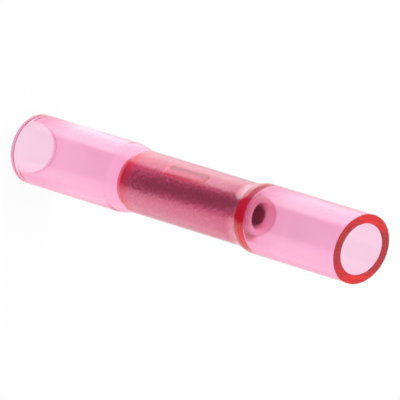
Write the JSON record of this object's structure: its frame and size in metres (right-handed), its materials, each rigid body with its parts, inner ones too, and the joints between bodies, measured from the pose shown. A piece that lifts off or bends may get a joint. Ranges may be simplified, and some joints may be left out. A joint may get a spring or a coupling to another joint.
{
  "type": "butt splice connector",
  "caption": "Heat-shrink butt splice: a clear red open-ended sleeve necked on to a tin-plated copper crimp barrel with a wire stop, for joining wires end to end.",
  "frame": {"origin": "centre of the square-cut lower end, on which the splice stands", "axes": "+Z along the splice's axis, from the square-cut end to the slanted one; -X is the side on which the slanted end is longest"},
  "size_m": [0.0056, 0.0056, 0.0373],
  "materials": {
    "clear_red_plastic": "clear, glossy, tinted red",
    "tinned_copper": "dull, fine-grained tin plating"
  },
  "bodies": {
    "root": {"sleeve": "clear_red_plastic", "crimp_barrel": "tinned_copper"}
  },
  "joints": []
}
